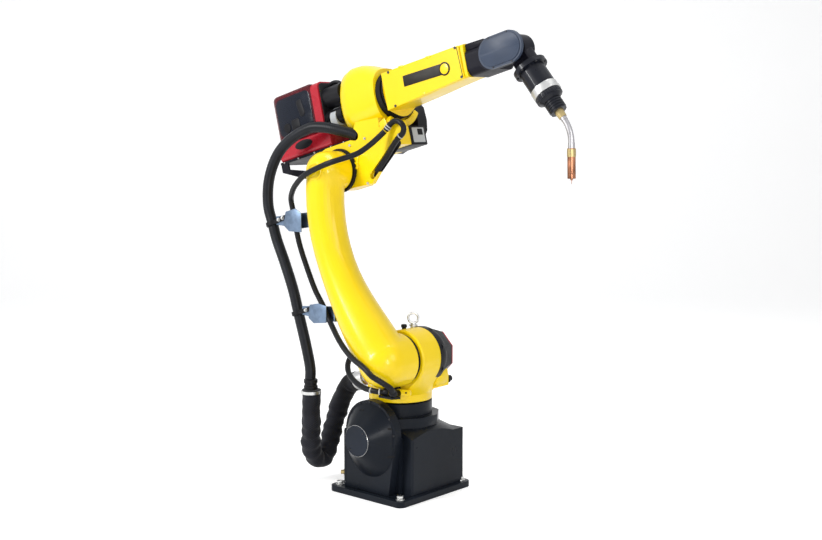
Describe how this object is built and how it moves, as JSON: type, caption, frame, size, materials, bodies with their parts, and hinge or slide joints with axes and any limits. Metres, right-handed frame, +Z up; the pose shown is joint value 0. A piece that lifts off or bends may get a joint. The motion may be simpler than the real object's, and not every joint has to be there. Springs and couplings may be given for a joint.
{
  "type": "arc welding robot arm",
  "caption": "Floor-standing articulated industrial arm with a bowed lower arm, slim hollow wrist, arc-welding torch and a wire feeder riding behind the elbow.",
  "frame": {"origin": "centre of the base plate's underside, on the floor at the swivel axis", "axes": "+X along the arm's forward side, +Y to the arm's left with the shoulder motor, +Z up along the swivel axis"},
  "size_m": [1.2034, 0.436, 1.4534],
  "materials": {
    "yellow_paint": "semi-gloss paint",
    "black_paint": "satin paint",
    "dark_metal": "satin coating",
    "seal_black": "matt",
    "hub_steel": "machined",
    "bright_steel": "bright",
    "motor_black": "satin",
    "red_cap": "satin",
    "clip_blue": "satin",
    "hose_black": "satin",
    "sleeve_cloth": "woven",
    "cover_grey": "satin",
    "feeder_red": "gloss",
    "hood_smoke": "smoked",
    "torch_black": "satin",
    "brass": "machined",
    "copper": "worn"
  },
  "bodies": {
    "base": {"base_plate": "black_paint", "base_housing": "black_paint", "side_flange": "black_paint", "side_cone": "black_paint", "swivel_drum": "black_paint"},
    "turret": {"turret_casting": "yellow_paint", "swivel_hub": "hub_steel", "shoulder_seal": "seal_black", "shoulder_motor": "motor_black", "motor_cap": "red_cap", "lifting_eye": "bright_steel", "hose_gland": "hub_steel", "cable_bracket": "hub_steel", "cloth_sleeve": "sleeve_cloth", "shoulder_cables": "hose_black"},
    "lower_arm": {"lower_arm": "yellow_paint", "shoulder_hub": "hub_steel", "elbow_seal": "seal_black", "upper_clip_plate": "clip_blue", "lower_clip_plate": "clip_blue", "upper_hose_clamp": "hose_black", "lower_hose_clamp": "hose_black", "conduit_run": "hose_black", "cable_run": "hose_black", "conduit_lower": "hose_black", "hose_coupling": "hose_black"},
    "elbow": {"elbow_casting": "yellow_paint", "elbow_hub": "hub_steel", "elbow_motor_box": "motor_black", "roll_ring": "seal_black", "feeder_plate": "motor_black", "feeder_stay": "motor_black", "feeder_case": "feeder_red", "feeder_hood": "hood_smoke", "feeder_band": "feeder_red", "feeder_drive": "motor_black", "feeder_motors": "motor_black", "elbow_cable": "hose_black", "conduit_upper": "hose_black", "cable_upper": "hose_black"},
    "forearm": {"forearm_casting": "yellow_paint", "roll_hub": "hub_steel", "forearm_cover": "yellow_paint", "wrist_housing": "dark_metal", "wrist_cover": "cover_grey"},
    "wrist": {"wrist_body": "dark_metal"},
    "torch": {"torch_flange": "torch_black", "torch_body": "torch_black", "torch_band": "bright_steel", "torch_cap": "torch_black", "brass_nut": "brass", "swan_neck": "bright_steel", "gas_nozzle": "copper"}
  },
  "joints": [
    {"name": "swivel", "type": "hinge", "parent": "base", "child": "turret", "pos_m": [0, 0, 0.3], "axis": [0, 0, 1], "range_deg": [-170, 170]},
    {"name": "shoulder", "type": "hinge", "parent": "turret", "child": "lower_arm", "pos_m": [0.075, 0, 0.45], "axis": [0, 1, 0], "range_deg": [-45, 70], "deforming": ["conduit_lower", "hose_coupling", "cloth_sleeve", "shoulder_cables"]},
    {"name": "elbow", "type": "hinge", "parent": "lower_arm", "child": "elbow", "pos_m": [-0.1802, 0, 1.03692], "axis": [0, -1, 0], "range_deg": [-50, 70], "deforming": ["conduit_upper", "cable_upper"]},
    {"name": "forearm_roll", "type": "hinge", "parent": "elbow", "child": "forearm", "pos_m": [-0.22836, 0, 1.22588], "axis": [0.969, 0, 0.247], "range_deg": [-190, 190]},
    {"name": "wrist_bend", "type": "hinge", "parent": "forearm", "child": "wrist", "pos_m": [0.46158, 0, 1.40174], "axis": [0, -1, 0], "range_deg": [-40, 170]},
    {"name": "torch_roll", "type": "hinge", "parent": "wrist", "child": "torch", "pos_m": [0.46158, 0, 1.40174], "axis": [0.6334, 0, -0.7738], "range_deg": [-270, 270]}
  ]
}
